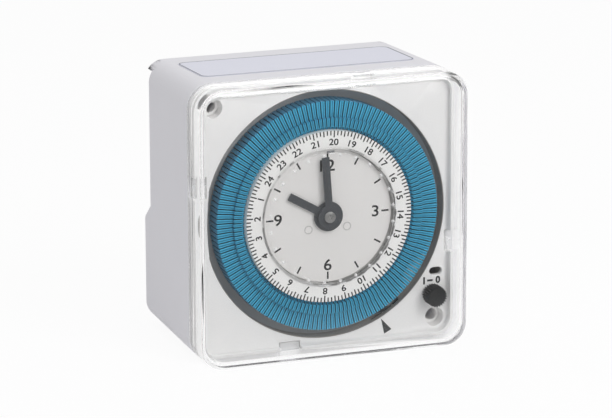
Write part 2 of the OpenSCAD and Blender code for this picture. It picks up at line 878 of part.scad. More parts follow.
module contact_strips() {
    strip_w = 3;
    color("#b87333") in_front() for (x = terminal_x) {
        slab(cage_front - 2.5, cage_front) translate([x - strip_w / 2, terminal_v + 1.4])
            square([strip_w, 0.6]);
        slab(cage_front - 2.5, cage_front - 1.9) translate([x - strip_w / 2, terminal_v + 1.4])
            square([strip_w, 9]);
    }
}

// ---- switch and controls ----

module switch_body() {
    color("#2c2e31") in_front() difference() {
        slab(switch_front, switch_back) translate(switch_low) square([12.8, switch_h]);
        slab(switch_front + 3.6, switch_back - 1) translate(switch_low + [2, 0.9]) square([9, switch_h - 1.8]);
        slab(switch_back - 2, switch_back + 1) contact_outline(press);
        translate([plunger_at, plunger_top - plunger_l - 1.4, -plunger_d]) rotate([-90, 0, 0])
            cylinder(h = plunger_l + 2, r = plunger_r + running);
    }
}

module contact_outline(grow) {
    for (x = [2.2, 6.2, 10.2]) translate(switch_low + [x - grow, 1 - grow])
        square([0.6 + 2 * grow, switch_h - 2 + 2 * grow]);
}

module switch_contacts() {
    color("#b87333") in_front() slab(switch_front + 4, switch_back + 2) contact_outline(0);
}

module switch_plunger() {
    color("#b3382e") in_front() translate([plunger_at, plunger_top - plunger_l, -plunger_d]) rotate([-90, 0, 0])
        cylinder(h = plunger_l, r = plunger_r);
}

module lever_pin() {
    color("silver") in_front() slab(plate_back - 0.5, lever_back + 0.6) translate(lever_at) circle(lever_pin_r);
}

module sensing_lever() {
    tip_r = segment_out_r + 1;
    tip = [tip_r * cos(pointer_angle), tip_r * sin(pointer_angle)];
    reach = norm(lever_at - tip);
    way = atan2(tip.y - lever_at.y, tip.x - lever_at.x);
    color("#2c2e31") in_front() difference() {
        union() {
            slab(plate_back + 0.7, well_floor - 0.4) translate(lever_at) bar(reach + 0.6, 1, way);
            slab(plate_back + 0.7, lever_back) translate(lever_at) circle(lever_boss_r);
            slab(plunger_d - 0.8, plunger_d + 0.8) polygon([
                lever_at + [0, 1.4], [plunger_at - 0.5, plunger_top + 1.3],
                [plunger_at - 0.5, plunger_top + pad_gap], [plunger_at + 0.5, plunger_top + pad_gap],
                [plunger_at + 0.9, plunger_top + 0.4], lever_at + [0, -0.7]
            ]);
        }
        slab(0, 30) translate(lever_at) circle(lever_pin_r + running);
    }
}

module override_knob() {
    rib_r = knob_r - 0.35;
    head_front = plate_front - knob_h;
    color("#3a3c3e") in_front() translate([knob_at.x, knob_at.y, 0]) {
        slab(head_front, plate_front - 0.3) {
            circle(rib_r);
            for (i = [0:knob_ribs - 1]) rotate(i * 360 / knob_ribs) polygon([
                [rib_r - 0.3, -0.32], [knob_r, -0.1], [knob_r, 0.1], [rib_r - 0.3, 0.32]
            ]);
        }
        slab(plate_front - 0.3, lever_back) circle(knob_shaft_r);
    }
}

module override_cam() {
    color("#e2e1e0") in_front() translate([knob_at.x, knob_at.y, 0]) slab(12.6, 14.2) difference() {
        union() {
            circle(2.4);
            rotate(200) translate([0, -1]) square([3.1, 2]);
            for (a = [60, 90, 120]) rotate(a) translate([2.3, 0]) circle(0.5);
        }
        circle(knob_shaft_r + press);
    }
}

module knob_detent() {
    color("silver") in_front() {
        slab(plate_back, 14.6) translate([knob_at.x - 2.5, knob_at.y + 3]) square([5, 0.3]);
    }
}

module rail_clip() {
    color("#8f9499") in_front() difference() {
        union() {
            slab(clip_front, clip_front + clip_flange_t)
                translate([-clip_flange_w / 2, clip_low]) square([clip_flange_w, recess_low - clip_low - 6]);
            slab(clip_front, clip_back)
                translate([-clip_w / 2, clip_low]) square([clip_w, recess_low - clip_low - recess_chamfer]);
            slab(clip_front, clip_front + clip_flange_t)
                translate([-clip_w / 2, clip_low]) square([clip_w, recess_low - clip_low + clip_nose]);
        }
        slab(clip_back - 1.2, clip_back + 1) translate([-3, clip_low + 2]) square([6, 1.4]);
    }
}

// Coil spring below the clip: a wire swept along a helix
module rail_clip_spring() {
    sides = 6;
    per_turn = 10;
    low = channel_low + slip;
    high = clip_low - slip;
    steps = spring_coils * per_turn;
    pitch = (high - low - 2 * spring_wire) / steps;
    function at(i, j) = let (a = 360 * i / per_turn, b = 360 * j / sides, q = spring_r + spring_wire * cos(b))
        [q * cos(a), low + spring_wire + i * pitch + spring_wire * sin(b), q * sin(a)];
    color("silver") in_front() translate([0, 0, -clip_front - 1.6]) polyhedron(
        points = [for (i = [0:steps], j = [0:sides - 1]) at(i, j)],
        faces = concat(
            [[for (j = [0:sides - 1]) j]],
            [for (i = [0:steps - 1], j = [0:sides - 1])
                [i * sides + j, (i + 1) * sides + j, (i + 1) * sides + (j + 1) % sides, i * sides + (j + 1) % sides]],
            [[for (j = [sides - 1:-1:0]) steps * sides + j]]
        )
    );
}

case_shell();
face_plate();
dial_well();
clock_face();
rating_label();
pointer_mark();
front_movement_plate();
back_movement_plate();
plate_pillars();
movement_screws();
well_screws();
gear_motor();
circuit_board();
board_standoffs();
reserve_battery();
mains_capacitor();
quartz_crystal();
board_resistors();
terminal_block();
clamp_cages();
terminal_screws();
contact_strips();
switch_body();
switch_contacts();
lever_pin();
knob_detent();
rail_clip_spring();
clear_cover();
dial_ring();
segments();
centre_window();
loose_segment(0);  // segment_01
loose_segment(1);  // segment_02
loose_segment(2);  // segment_03
loose_segment(3);  // segment_04
loose_segment(4);  // segment_05
loose_segment(5);  // segment_06
loose_segment(6);  // segment_07
loose_segment(7);  // segment_08
loose_segment(8);  // segment_09
loose_segment(9);  // segment_10
loose_segment(10);  // segment_11
loose_segment(11);  // segment_12
hour_hand();
hour_wheel();
minute_hand();
minute_arbor();
minute_wheel();
hand_screw();
transfer_wheel();
transfer_arbor();
idler_wheel();
idler_arbor();
drive_pinion();
override_knob();
override_cam();
sensing_lever();
switch_plunger();
rail_clip();
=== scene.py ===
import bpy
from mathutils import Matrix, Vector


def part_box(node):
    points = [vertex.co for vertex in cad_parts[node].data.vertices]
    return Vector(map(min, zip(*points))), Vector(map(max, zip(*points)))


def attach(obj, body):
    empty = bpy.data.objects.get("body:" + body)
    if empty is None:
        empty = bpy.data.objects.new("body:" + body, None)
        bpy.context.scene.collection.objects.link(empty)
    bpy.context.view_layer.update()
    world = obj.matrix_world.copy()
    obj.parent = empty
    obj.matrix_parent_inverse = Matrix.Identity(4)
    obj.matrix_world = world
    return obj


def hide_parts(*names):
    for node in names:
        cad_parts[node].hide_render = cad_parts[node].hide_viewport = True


bl_info = {
    "name": "Square Time Switch",
    "version": (1, 0, 0),
    "blender": (4, 5, 0),
    "location": "3D View > Sidebar > Time Switch",
    "description": "Builds the looks of a square analogue time switch around its packed frame",
    "category": "Add Mesh",
}

import math

import bmesh
import bpy
from mathutils import Matrix, Vector

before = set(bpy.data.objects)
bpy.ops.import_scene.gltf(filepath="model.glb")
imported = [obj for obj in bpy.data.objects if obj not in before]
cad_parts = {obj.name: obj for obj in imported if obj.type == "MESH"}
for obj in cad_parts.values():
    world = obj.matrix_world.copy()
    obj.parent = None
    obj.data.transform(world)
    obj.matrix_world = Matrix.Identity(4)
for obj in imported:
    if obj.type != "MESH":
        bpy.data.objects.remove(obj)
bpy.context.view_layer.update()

MM = 0.001

# Lengths here are in mm and angles in degrees. The cover's front and the dial's axis are places in the
# row frame; every other depth is counted back from the cover's front.
COVER_FRONT = -24.6
DIAL_UP = 36.0
RING_FRONT, FACE_FRONT, PLATE_FRONT = 5.6, 6.9, 8.4
INK_DEPTH = 0.03
WELL_WALL_RADIUS = 31.5

# The hour 24 stands at the phase, counter-clockwise from the right. Twelve of the segments slide.
DIAL_PHASE = 146.4
HOUR_STEP = 15
SEGMENT_STEP = 2.5
SEGMENTS = 144
FIRST_LOOSE = 108
LOOSE = ["segment_%02d" % k for k in range(1, 13)]

# Radius and front depth along a segment, over its plate and then over its foot, and their back depths.
SEGMENT_PLATE = [(22.5, 6.93), (22.58, 6.85), (23.25, 6.85), (23.25, 5.88), (23.33, 5.8), (25.52, 5.8),
                 (25.6, 5.88), (25.6, 6.55), (27.9, 6.55)]
SEGMENT_FOOT = [(27.9, 6.55), (29.78, 6.55), (29.9, 6.67)]
SEGMENT_BACK, FOOT_BACK = 8.1, 12
SEGMENT_GAP = 0.3
# The step between these radii, like the groove along each segment, is coloured darker blue as painted shade.
SEGMENT_STEP_RADII = (25, 26)
SEGMENT_END_RADIUS = 29.7
# Material slots of a segment: the sides' slot holds a deep blue as painted shade in the gaps between
# segments.
SHADED_SIDE, LIT_END, GROOVE_SHADE = 1, 2, 3

NUMBER_RADIUS = 19.42
RING_TICK_RADII = {6: 20.6, 3: 20.85, 1: 21.15}
RING_TICK_END = 22.33
# Beyond CARRIER_RADIUS or behind CARRIER_FRONT the hour ring is coloured dark navy, as painted shade under
# the segments.
CARRIER_RADIUS, CARRIER_FRONT = 22.35, 8.15
# The ring's bore wall between these depths is coloured a little darker than the ring as painted shade.
BORE_RADIUS, BORE_DEPTHS = 17.6, (5.7, 8)

FACE_TICK_RADII, FACE_TICK_WIDTH, RING_TICK_WIDTH = (14.65, 16.6), 0.44, 0.32
PIP_RADIUS, PIP_REACH, PIP_BACK = 16.6, 0.45, 4.3
KNOB_CENTRE = (29.15, -23.7)
KNOB_RIBS, RIB_DEPTH = 24, 0.55

# What counts as one point (in metres), as one flat face and as an outward edge, in rounded copies. An edge
# is rounded by at most a share of the room beside it, and stays sharp if that is too little of its width.
WELD_DISTANCE, FLAT_ANGLE, OUTWARD_ANGLE = 2e-6, 0.6, 38
ROOM_SHARE, LEAST_WIDTH_SHARE = 0.36, 0.55

# In metres, in the row frame.
CAMERA_EYE, CAMERA_TARGET = (-0.3295, -0.8806, 0.2733), (-0.008441, -0.0246, 0.04018)
CAMERA_ROLL = -0.199
CAMERA_LENS, CAMERA_SENSOR = 221.44, 36
LAMP_TARGET = (0, 0, 0.036)
FLOOR_HALF = 1.5


def linear(written):
    """Linear red, green and blue of a written colour such as #DEDDDD."""
    parts = [int(written[i:i + 2], 16) / 255 for i in (1, 3, 5)]
    return tuple(c / 12.92 if c <= 0.04045 else ((c + 0.055) / 1.055) ** 2.4 for c in parts)


def place(u, v, d):
    """A point u to the right of the dial's centre, v above it and d behind the cover's front, in mm."""
    return Vector((u, d + COVER_FRONT, v + DIAL_UP)) * MM


def from_dial(at):
    """A point of the frame, in mm, as its distance from the dial's axis and its depth."""
    return math.hypot(at.x, at.z - DIAL_UP), at.y - COVER_FRONT


# ---- sizes and colours that a user would change ----

def colour_choice(name, written, description):
    return bpy.props.FloatVectorProperty(
        name=name, description=description, subtype="COLOR", size=3, min=0, max=1, default=linear(written))


def length_choice(name, default, description):
    return bpy.props.FloatProperty(
        name=name, description=description, unit="LENGTH", subtype="DISTANCE", min=0, precision=5,
        default=default * MM)


class HousingChoices(bpy.types.PropertyGroup):
    """Housing, label and rail clip"""

    plastic: colour_choice("Housing", "#E2E1E6", "Colour of the housing")
    edge: length_choice("Edge", 0.5, "Rounding of the housing's edges")
    label: colour_choice("Label", "#D5D6E3", "Colour of the blank label")
    label_ink: colour_choice("Label line", "#4A4D57", "Colour of the line around the label")
    label_line: length_choice("Line width", 0.28, "Width of the line around the label")
    clip: colour_choice("Rail clip", "#7E8388", "Colour of the rail clip and the terminal block")


class PlateChoices(bpy.types.PropertyGroup):
    """Face plate, its marks and the well in it"""

    plastic: colour_choice("Plate", "#F7F6F5", "Colour of the face plate")
    edge: length_choice("Edge", 0.14, "Rounding of the plate's edges")
    grain: length_choice("Grain", 0.45, "Size of the grain in the plate's surface")
    well: colour_choice("Well", "#BCBDBE", "Colour of the well's floor")
    # The well's wall is coloured darker than its floor as painted shade.
    well_wall: colour_choice("Well wall", "#98928C", "Colour of the wall round the well")
    ink: colour_choice("Ink", "#1E2022", "Colour of the marks beside the knob")
    pointer: colour_choice("Pointer", "#202224", "Colour of the pointer")
    mark_height: length_choice("Mark height", 1.95, "Height of the I and 0 marks")


class DialChoices(bpy.types.PropertyGroup):
    """Ring of hours and its switching segments"""

    ring: colour_choice("Ring", "#F6F5F3", "Colour of the number ring")
    # Painted shade: the segments' sides are coloured deep blue for the shade in their gaps.
    flank: colour_choice("Segment sides painted shade", "#1B5A78", "Colour of the segments' sides, deep in their gaps")
    # Painted light: the outer ends get a lighter blue than their deep place in the well would show.
    ends: colour_choice("Segment ends painted light", "#3C86AB", "Colour of the segments' outer ends")
    # Painted shade: dark navy for the ring under the segments, seen in the gaps between them.
    carrier: colour_choice("Carrier", "#12303F", "Colour of the ring below the segments")
    segment: colour_choice("Segments", "#40B0D4", "Colour of the switching segments")
    # Painted shade: the groove and the step across each segment take a darker blue.
    groove: colour_choice("Segment grooves painted shade", "#1F84AC", "Colour of the groove along each segment")
    bevel: length_choice("Segment edge", 0.07, "Chamfer of each segment's edges")
    groove_width: length_choice("Groove width", 0.34, "Width of the groove along each segment")
    groove_depth: length_choice("Groove depth", 0.08, "Depth of that groove")
    number_height: length_choice("Number height", 1.72, "Height of the numbers 1 to 24")
    ink: colour_choice("Ink", "#060607", "Colour of the numbers and ticks")


class ClockChoices(bpy.types.PropertyGroup):
    """Clock face, hands and window"""

    face: colour_choice("Face", "#FDFBF9", "Colour of the clock face")
    hands: colour_choice("Hands", "#474B50", "Colour of both hands")
    numeral_height: length_choice("Numeral height", 2.98, "Height of the 12, 3, 6 and 9")
    ink: colour_choice("Ink", "#08090A", "Colour of the numerals and ticks")
    window: colour_choice("Window", "#FFFFFF", "Colour of the window over the hands")


class CoverChoices(bpy.types.PropertyGroup):
    """Clear cover and override knob"""

    clear: colour_choice("Cover", "#FFFFFF", "Colour of the clear plastic")
    front_edge: length_choice("Front edge", 1.8, "Rounding of the cover's front edge")
    knob: colour_choice("Knob", "#1B1C1D", "Colour of the override knob")
    knob_radius: length_choice("Knob radius", 2.75, "Radius over the knob's ribs")


class StageChoices(bpy.types.PropertyGroup):
    """Floor, lamps and camera"""

    floor: colour_choice("Floor", "#F2F2F3", "Colour of the floor")
    key: bpy.props.FloatProperty(
        name="Key lamp", description="Power of the lamp in front", unit="POWER", min=0, default=3.35)
    fill: bpy.props.FloatProperty(
        name="Fill", description="Strength of the light all round", min=0, default=0.57)


# ---- finishes ----

class Link:
    """One output socket, so that shader maths reads as an expression."""

    def __init__(self, shader, socket):
        self.shader = shader
        self.socket = socket

    def __add__(self, other):
        return self.shader.maths("ADD", self, other)

    def __sub__(self, other):
        return self.shader.maths("SUBTRACT", self, other)

    def __rsub__(self, other):
        return self.shader.maths("SUBTRACT", other, self)

    def __mul__(self, other):
        return self.shader.maths("MULTIPLY", self, other)

    def __pow__(self, other):
        return self.shader.maths("POWER", self, other)

    def __gt__(self, other):
        return self.shader.maths("GREATER_THAN", self, other)

    def __lt__(self, other):
        return self.shader.maths("LESS_THAN", self, other)

    __radd__ = __add__
    __rmul__ = __mul__


class Shader:
    """A node tree that grows by one call for each node."""

    def __init__(self, tree):
        self.tree = tree
        tree.nodes.clear()

    def node(self, kind, settings=None, sockets=None, output=0):
        """Adds a node, applies its settings, fills its sockets and gives one of its outputs."""
        added = self.tree.nodes.new(kind)
        for key, value in (settings or {}).items():
            setattr(added, key, value)
        for key, value in (sockets or {}).items():
            if isinstance(value, Link):
                self.tree.links.new(value.socket, added.inputs[key])
            else:
                added.inputs[key].default_value = value
        return Link(self, added.outputs[output]) if added.outputs else None

    def maths(self, operation, *values):
        return self.node("ShaderNodeMath", {"operation": operation}, dict(enumerate(values)))

    def noise(self, size, detail=2.0, stretch=(1, 1, 1)):
        """Noise in blobs of a size in mm, drawn out along the axes by stretch."""
        where = self.node("ShaderNodeTexCoord", output="Object")
        scaled = [1 / (size * MM * s) for s in stretch]
        where = self.node("ShaderNodeVectorMath", {"operation": "MULTIPLY"}, {0: where, 1: scaled})
        return self.node("ShaderNodeTexNoise", None, {"Vector": where, "Scale": 1.0, "Detail": detail})

    def blend(self, factor, first, second):
        """A mix of two colours."""
        first, second = [c if isinstance(c, Link) else (*c, 1) for c in (first, second)]
        return self.node("ShaderNodeMix", {"data_type": "RGBA"}, {0: factor, 6: first, 7: second}, output=2)

    def bump(self, height, depth):
        """A normal from a height between 0 and 1 that stands for a depth in mm."""
        return self.node("ShaderNodeBump", None, {"Distance": depth * MM, "Height": height})

    def along(self, vector, axis):
        """One part of a vector: X, Y or Z."""
        return self.node("ShaderNodeSeparateXYZ", None, {0: vector}, output=axis)

    def fade(self, value, start, end, first, last):
        """Goes smoothly from first to last while a value goes from start to end."""
        return self.node("ShaderNodeMapRange", {"interpolation_type": "SMOOTHSTEP"}, {
            "Value": value, "From Min": start, "From Max": end, "To Min": first, "To Max": last})

    def cover_with(self, surface):
        """Makes a shader the surface of the material."""
        self.node("ShaderNodeOutputMaterial", None, {"Surface": surface})


def toned(colour, factor):
    return tuple(min(1.0, c * factor) for c in colour)


def new_material(name):
    material = bpy.data.materials.new(name)
    material.use_nodes = True
    return material, Shader(material.node_tree)


def moulded(name, colour, grain=0.3, depth=0.006, roughness=0.45, cloud=0.02, speck=0.03):
    """Moulded plastic: slow clouds of tone, a fine grain that is felt, and a sheen that varies with it."""
    material, s = new_material(name)
    clouds = s.noise(9, detail=3)
    grains = s.noise(grain, detail=2.5)
    tone = s.blend(clouds, toned(colour, 1 - cloud), toned(colour, 1 + cloud))
    tone = s.blend(grains, s.blend(0.5, toned(colour, 1 - 2 * speck), tone), tone)
    surface = s.node("ShaderNodeBsdfPrincipled", None, {
        "Base Color": tone, "Roughness": grains * 0.16 + (roughness - 0.08), "Specular IOR Level": 0.35,
        "Normal": s.bump(grains, depth)})
    s.cover_with(surface)
    return material


def metal(name, colour, roughness=0.3, stretch=(1, 12, 1)):
    """Metal with fine drawn or turned lines and a slightly cloudy finish."""
    material, s = new_material(name)
    lines = s.noise(0.12, detail=2, stretch=stretch)
    clouds = s.noise(2.5, detail=3)
    surface = s.node("ShaderNodeBsdfPrincipled", None, {
        "Base Color": s.blend(clouds, toned(colour, 0.86), colour), "Metallic": 1.0,
        "Roughness": lines * 0.18 + clouds * 0.08 + (roughness - 0.13), "Normal": s.bump(lines, 0.004)})
    s.cover_with(surface)
    return material


def see_through(name, colour, haze_depth=0.03, through=1.0):
    """Clear plastic with faint handling haze that lets lamp light through to what lies behind it."""
    material, s = new_material(name)
    haze = s.noise(7, detail=4)
    glass = s.node("ShaderNodeBsdfPrincipled", None, {
        "Base Color": (*colour, 1), "Roughness": haze * haze_depth, "IOR": 1.49,
        "Transmission Weight": through})
    shadow = s.node("ShaderNodeLightPath", output="Is Shadow Ray")
    clear = s.node("ShaderNodeBsdfTransparent", None, {"Color": (1, 1, 1, 1)})
    surface = s.node("ShaderNodeMixShader", None, {0: shadow, 1: glass, 2: clear})
    s.cover_with(surface)
    return material


def thin_pane(name, colour):
    """Flat clear plastic: a faint mirror over what lies behind it, which it doesn't bend."""
    material, s = new_material(name)
    haze = s.noise(7, detail=4)
    facing = s.node("ShaderNodeLayerWeight", None, {"Blend": 0.5}, output="Facing")
    clear = s.node("ShaderNodeBsdfTransparent", None, {"Color": (*colour, 1)})
    mirror = s.node("ShaderNodeBsdfGlossy", None, {"Color": (1, 1, 1, 1), "Roughness": haze * 0.03})
    sight = 1 - s.node("ShaderNodeLightPath", output="Is Shadow Ray")
    share = (facing ** 5 * 0.96 + 0.04) * sight
    surface = s.node("ShaderNodeMixShader", None, {0: share, 1: clear, 2: mirror})
    s.cover_with(surface)
    return material


def printed(name, colour):
    """Ink: nearly even, a little thinner in places."""
    material, s = new_material(name)
    thin = s.noise(0.5, detail=3)
    surface = s.node("ShaderNodeBsdfPrincipled", None, {
        "Base Color": s.blend(thin, colour, toned(colour, 1.5)), "Roughness": thin * 0.1 + 0.5,
        "Specular IOR Level": 0.25})
    s.cover_with(surface)
    return material


def circuit_green(name, colour):
    """Solder resist with tracks that run under it."""
    material, s = new_material(name)
    where = s.node("ShaderNodeTexCoord", output="Object")
    cells = s.node("ShaderNodeTexVoronoi", {"feature": "DISTANCE_TO_EDGE", "distance": "EUCLIDEAN"},
                   {"Vector": where, "Scale": 420.0, "Randomness": 0.7}, output="Distance")
    track = cells > 0.11
    surface = s.node("ShaderNodeBsdfPrincipled", None, {
        "Base Color": s.blend(track, toned(colour, 2.1), colour), "Roughness": track * 0.1 + 0.25,
        "Normal": s.bump(track, 0.03)})
    s.cover_with(surface)
    return material


# ---- meshes ----

def make_piece(name, bm, materials, body, sharp=32):
    """Turns a finished bmesh into a piece that rides on a body."""
    bmesh.ops.recalc_face_normals(bm, faces=bm.faces)
    mesh = bpy.data.meshes.new(name)
    bm.to_mesh(mesh)
    bm.free()
    for material in materials:
        mesh.materials.append(material)
    piece = bpy.data.objects.new(name, mesh)
    bpy.context.collection.objects.link(piece)
    mesh.polygons.foreach_set("use_smooth", [True] * len(mesh.polygons))
    mesh.set_sharp_from_angle(angle=math.radians(sharp))
    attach(piece, body)
    return piece


def loft(bm, sections, material=0):
    """Joins rings of equally many points and caps both ends."""
    rings = [[bm.verts.new(p) for p in section] for section in sections]
    count = len(rings[0])
    faces = [bm.faces.new((here[j], here[(j + 1) % count], there[(j + 1) % count], there[j]))
             for here, there in zip(rings, rings[1:]) for j in range(count)]
    faces += [bm.faces.new(rings[0][::-1]), bm.faces.new(rings[-1])]
    for face in faces:
        face.material_index = material


def turned(bm, profile, centre=(0, 0), steps=96):
    """Turns a closed outline of (radius, depth) points about an axis along the depth."""
    rings = []
    for k in range(steps):
        a = math.tau * k / steps
        rings.append([bm.verts.new(place(centre[0] + r * math.cos(a), centre[1] + r * math.sin(a), d))
                      for r, d in profile])
    count = len(profile)
    for k in range(steps):
        here, there = rings[k], rings[(k + 1) % steps]
        for j in range(count):
            bm.faces.new((here[j], here[(j + 1) % count], there[(j + 1) % count], there[j]))


def rounded_square(half, corner, d, steps=12):
    """Outline of a square with rounded corners, as points at one depth."""
    points = []
    for quarter, (side_u, side_v) in enumerate(((1, 1), (-1, 1), (-1, -1), (1, -1))):
        for k in range(steps + 1):
            a = math.radians(90 * quarter + 90 * k / steps)
            points.append(place(side_u * (half - corner) + corner * math.cos(a),
                                side_v * (half - corner) + corner * math.sin(a), d))
    return points


def ink_slab(bm, corners, d, material=0):
    """A flat patch of ink over four (u, v) corners, half of it above the depth d."""
    loft(bm, [[place(u, v, depth) for u, v in corners]
              for depth in (d - INK_DEPTH / 2, d + INK_DEPTH / 2)], material)


def rectangle(low, high):
    """The corners of a rectangle, from its low left one counter-clockwise."""
    return (low[0], low[1]), (high[0], low[1]), (high[0], high[1]), (low[0], high[1])


def stroke(bm, r_in, r_out, angle, width, d):
    """A straight bar of ink along a radius."""
    a = math.radians(angle)
    out, side = Vector((math.cos(a), math.sin(a))), Vector((-math.sin(a), math.cos(a))) * (width / 2)
    corners = [out * r_in - side, out * r_out - side, out * r_out + side, out * r_in + side]
    ink_slab(bm, corners, d)


def letters(bm, text, height, centre, up, d, bold, wide=1.0):
    """Adds generic numerals whose middle lies at centre and whose tops point along the angle up."""
    curve = bpy.data.curves.new("letters", "FONT")
    curve.body, curve.resolution_u, curve.bevel_depth, curve.bevel_resolution = text, 5, bold, 0
    helper = bpy.data.objects.new("letters", curve)
    bpy.context.collection.objects.link(helper)
    shape = bpy.data.meshes.new_from_object(helper.evaluated_get(bpy.context.evaluated_depsgraph_get()))
    bpy.data.objects.remove(helper)
    bpy.data.curves.remove(curve)
    xs, ys = [v.co.x for v in shape.vertices], [v.co.y for v in shape.vertices]
    middle = Vector(((min(xs) + max(xs)) / 2, (min(ys) + max(ys)) / 2))
    scale = height / (max(ys) - min(ys))
    a = math.radians(up)
    right, top = Vector((math.sin(a), -math.cos(a))), Vector((math.cos(a), math.sin(a)))
    for vert in shape.vertices:
        spot = (right * (vert.co.x - middle.x) * wide + top * (vert.co.y - middle.y)) * scale
        vert.co = place(centre[0] + spot.x, centre[1] + spot.y, d - vert.co.z / bold * INK_DEPTH / 2)
    bm.from_mesh(shape)
    bpy.data.meshes.remove(shape)


def settle(piece, sharp):
    """Turns what a piece's modifiers make into its own mesh, sharp wherever it turns that many degrees."""
    made = bpy.data.meshes.new_from_object(piece.evaluated_get(bpy.context.evaluated_depsgraph_get()))
    piece.modifiers.clear()
    old, piece.data = piece.data, made
    bpy.data.meshes.remove(old)
    made.polygons.foreach_set("use_smooth", [True] * len(made.polygons))
    made.set_sharp_from_angle(angle=math.radians(sharp))


def heading(edge, vert):
    """The direction in which an edge leaves one of its ends."""
    return (edge.other_vert(vert).co - vert.co).normalized()


def sharp_runs(bm, bend=0.5):
    """Groups the outward edges of a mesh into runs that follow on from one another without a corner."""
    least = math.radians(OUTWARD_ANGLE)
    left = {e for e in bm.edges if len(e.link_faces) == 2 and e.calc_face_angle_signed(0) > least}
    runs = []
    for first in bm.edges:
        if first not in left:
            continue
        left.remove(first)
        run, waiting = [], [first]
        while waiting:
            e = waiting.pop()
            run.append(e)
            for vert in e.verts:
                for other in vert.link_edges:
                    if other in left and heading(other, vert).dot(heading(e, vert)) < -bend:
                        left.remove(other)
                        waiting.append(other)
        runs.append(run)
    return runs


def room_beside(e, sharp):
    """How far an edge can be cut back before the cut meets something else."""
    room = min(face.calc_area() / e.calc_length() for face in e.link_faces)
    for vert in e.verts:
        along = heading(e, vert)
        for other in vert.link_edges:
            way = heading(other, vert)
            if other is not e and way.dot(along) > -0.8:
                room = min(room, other.calc_length() * way.cross(along).length)
        for face in vert.link_faces:
            if len(face.verts) == 3 and not any(side in sharp for side in face.edges):
                across = next(side for side in face.edges if vert not in side.verts)
                room = min(room, 2 * face.calc_area() / across.calc_length())
    return room


def rounded_copy(node, name, body, materials, edge, choose=None, segments=2):
    """A copy of a node's mesh with clean faces and rounded edges, no rounding wider than its place allows."""
    bm = bmesh.new()
    bm.from_mesh(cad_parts[node].data)
    bmesh.ops.remove_doubles(bm, verts=bm.verts, dist=WELD_DISTANCE)
    bmesh.ops.dissolve_limit(bm, angle_limit=math.radians(FLAT_ANGLE), verts=bm.verts, edges=bm.edges)
    bmesh.ops.connect_verts_concave(bm, faces=bm.faces)
    bmesh.ops.recalc_face_normals(bm, faces=bm.faces)
    weights = bm.edges.layers.float.new("bevel_weight_edge")
    runs = sharp_runs(bm)
    sharp = {e for run in runs for e in run}
    for run in runs:
        share = ROOM_SHARE * min(room_beside(e, sharp) for e in run) / edge if edge else 0
        for e in run:
            e[weights] = min(1.0, share) if share > LEAST_WIDTH_SHARE else 0.0
    if choose:
        for face in bm.faces:
            face.material_index = choose(face.calc_center_median() / MM)
    piece = make_piece(name, bm, materials, body)
    if edge:
        bevel = piece.modifiers.new("Edge", "BEVEL")
        bevel.width, bevel.segments, bevel.limit_method = edge, segments, "WEIGHT"
        bevel.use_clamp_overlap, bevel.loop_slide = False, False
        piece.modifiers.new("Normals", "WEIGHTED_NORMAL").keep_sharp = True
    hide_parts(node)


def finish_nodes(names, material):
    """Gives packed nodes that stay as they are a finish of their own."""
    for name in names:
        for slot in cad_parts[name].material_slots:
            slot.material = material


# ---- the pieces ----

class TIME_SWITCH_OT_housing(bpy.types.Operator):
    """Build the housing, its blank label and the rail clip"""

    bl_idname = "time_switch.housing"
    bl_label = "Housing"

    def execute(self, context):
        look = context.scene.time_switch_housing
        shell = moulded("Housing plastic", look.plastic, grain=0.35, depth=0.008, roughness=0.5)
        rounded_copy("case_shell", "housing", "body", [shell], look.edge, segments=3)
        paper = moulded("Label film", look.label, grain=0.8, depth=0.001, roughness=0.35, speck=0.01)
        rounded_copy("rating_label", "blank_label", "body", [paper], 0.03 * MM)
        self.draw_line(look)
        grey = moulded("Clip plastic", look.clip, grain=0.4, depth=0.006, roughness=0.4)
        rounded_copy("rail_clip", "rail_latch", "clip", [grey], 0.2 * MM)
        finish_nodes(["terminal_block"], grey)
        return {"FINISHED"}

    def draw_line(self, look):
        """The line round the label, on a film that falls towards the back."""
        radius, margin, above, below, film = 2.5, 0.15, 0.012, 0.03, 0.15
        low, high = [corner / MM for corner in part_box("rating_label")]
        run = high.y - low.y

        def outline(inset, lift):
            corner = radius - inset
            half_x, half_y = (high.x - low.x) / 2 - inset, run / 2 - inset
            points = []
            for quarter, (sx, sy) in enumerate(((1, 1), (-1, 1), (-1, -1), (1, -1))):
                for k in range(9):
                    a = math.radians(90 * quarter + 90 * k / 8)
                    x = (low.x + high.x) / 2 + sx * (half_x - corner) + corner * math.cos(a)
                    y = (low.y + high.y) / 2 + sy * (half_y - corner) + corner * math.sin(a)
                    z = high.z + (low.z + film - high.z) * (y - low.y) / run
                    points.append(Vector((x, y, z + lift)) * MM)
            return points

        width = look.label_line / MM
        bm = bmesh.new()
        rings = [outline(margin, above), outline(margin + width, above),
                 outline(margin + width, -below), outline(margin, -below)]
        verts = [[bm.verts.new(p) for p in ring] for ring in rings]
        count = len(rings[0])
        for i in range(4):
            here, there = verts[i], verts[(i + 1) % 4]
            for j in range(count):
                bm.faces.new((here[j], here[(j + 1) % count], there[(j + 1) % count], there[j]))
        make_piece("label_line", bm, [printed("Label ink", look.label_ink)], "body")


